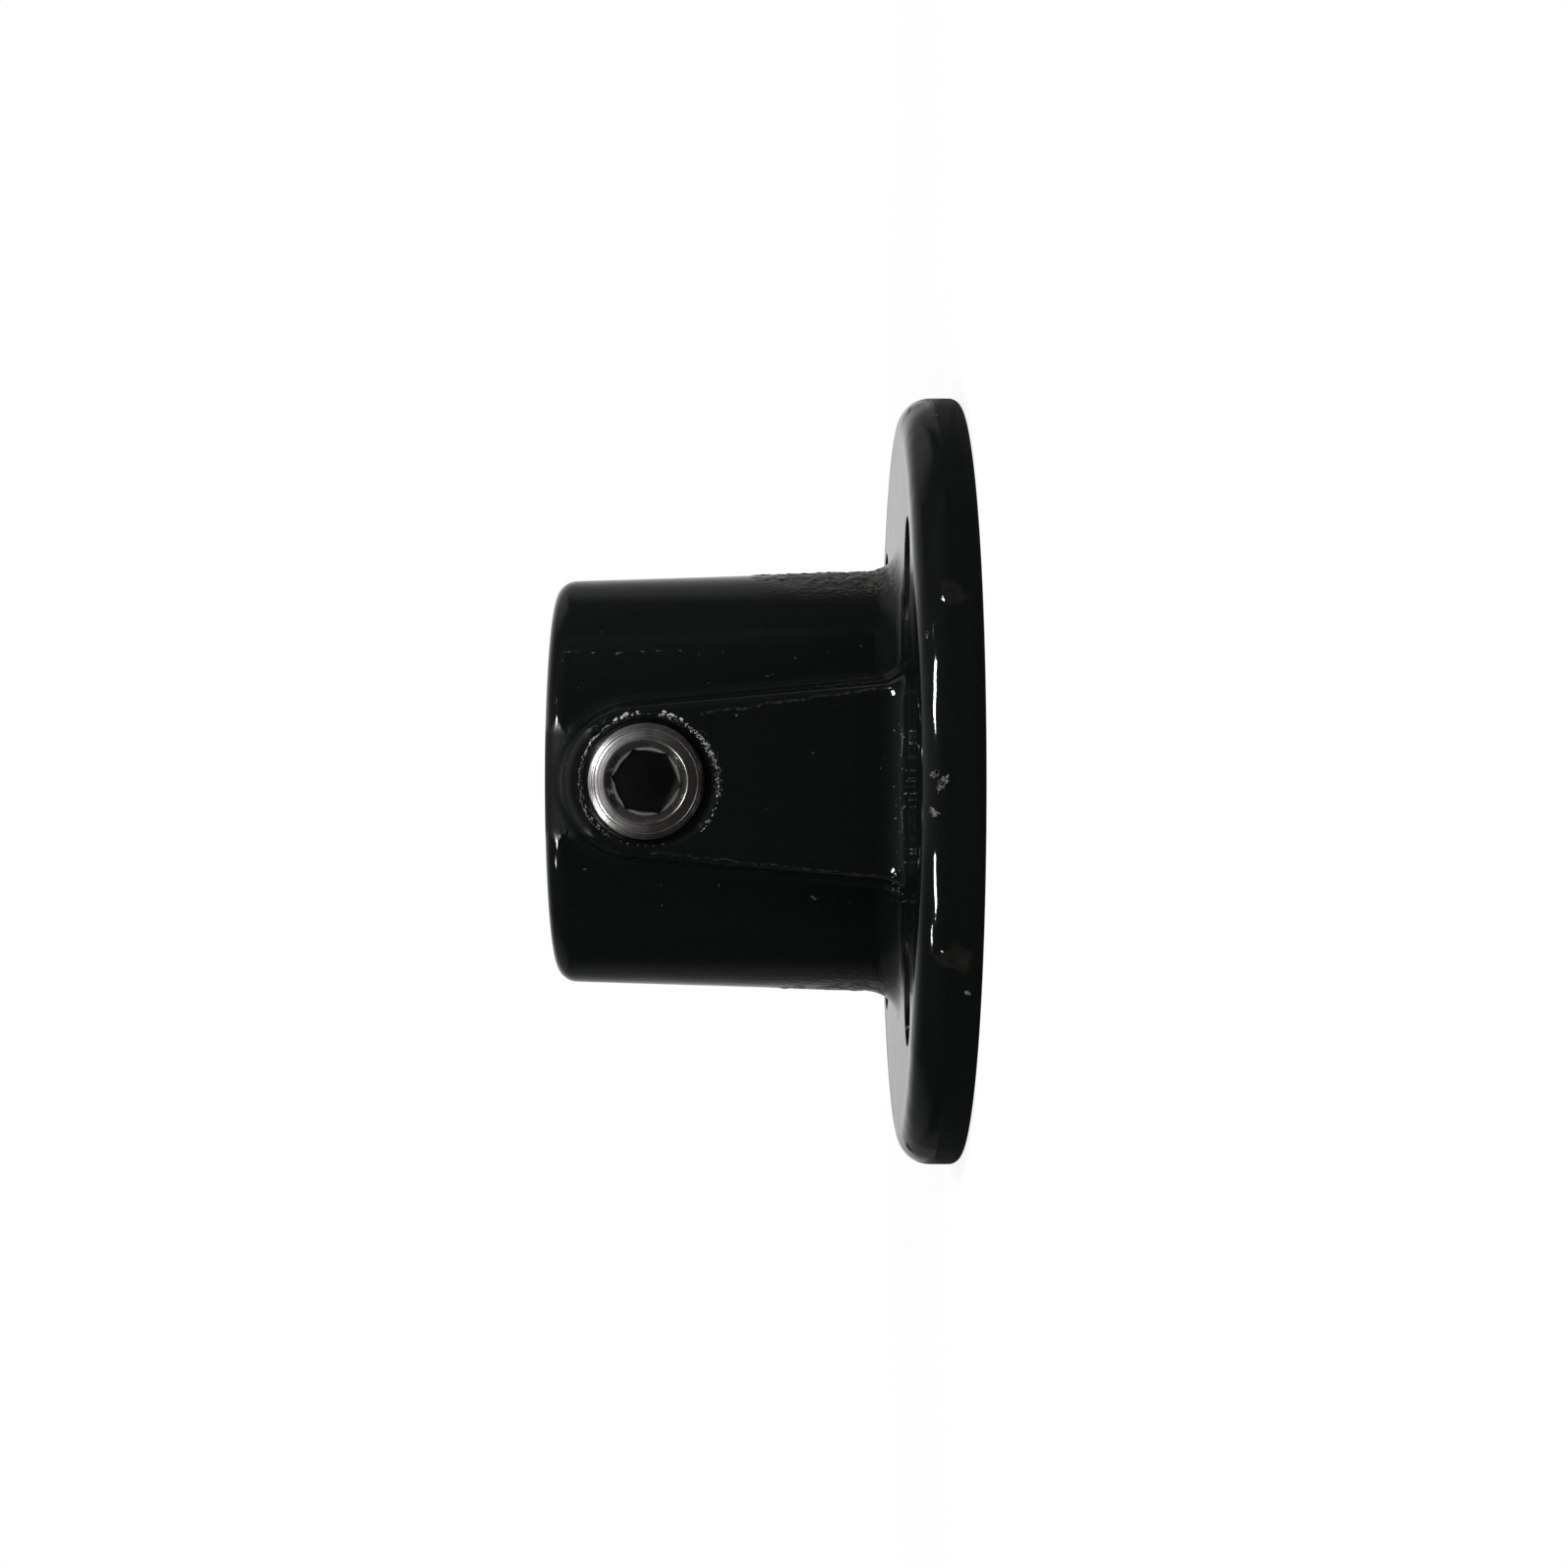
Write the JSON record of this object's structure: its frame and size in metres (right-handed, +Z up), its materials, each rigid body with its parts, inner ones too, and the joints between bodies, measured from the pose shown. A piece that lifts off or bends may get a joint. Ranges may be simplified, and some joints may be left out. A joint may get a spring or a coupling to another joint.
{
  "type": "tube clamp base flange",
  "caption": "Round cast iron base flange with an upright socket for a 48.3 mm tube, countersunk screw holes through its plate, and a cup-point set screw in a drafted side boss.",
  "frame": {"origin": "centre of the plate's flat underside, on the tube's axis", "axes": "+Z up the tube's axis out of the socket; the set screw's key socket faces -Y; +X completes the right-handed frame"},
  "size_m": [0.1156, 0.1156, 0.0603],
  "materials": {
    "black_paint": "glossy black paint over a sand-cast surface",
    "bare_steel": "bright turned steel with fine turning marks"
  },
  "bodies": {
    "casting": {"flange_casting": "black_paint"},
    "screw": {"set_screw": "bare_steel"}
  },
  "joints": [
    {"name": "screw_travel", "type": "slide", "parent": "casting", "child": "screw", "axis": [0, 1, 0], "range_m": [-0.004, 0.002]}
  ]
}
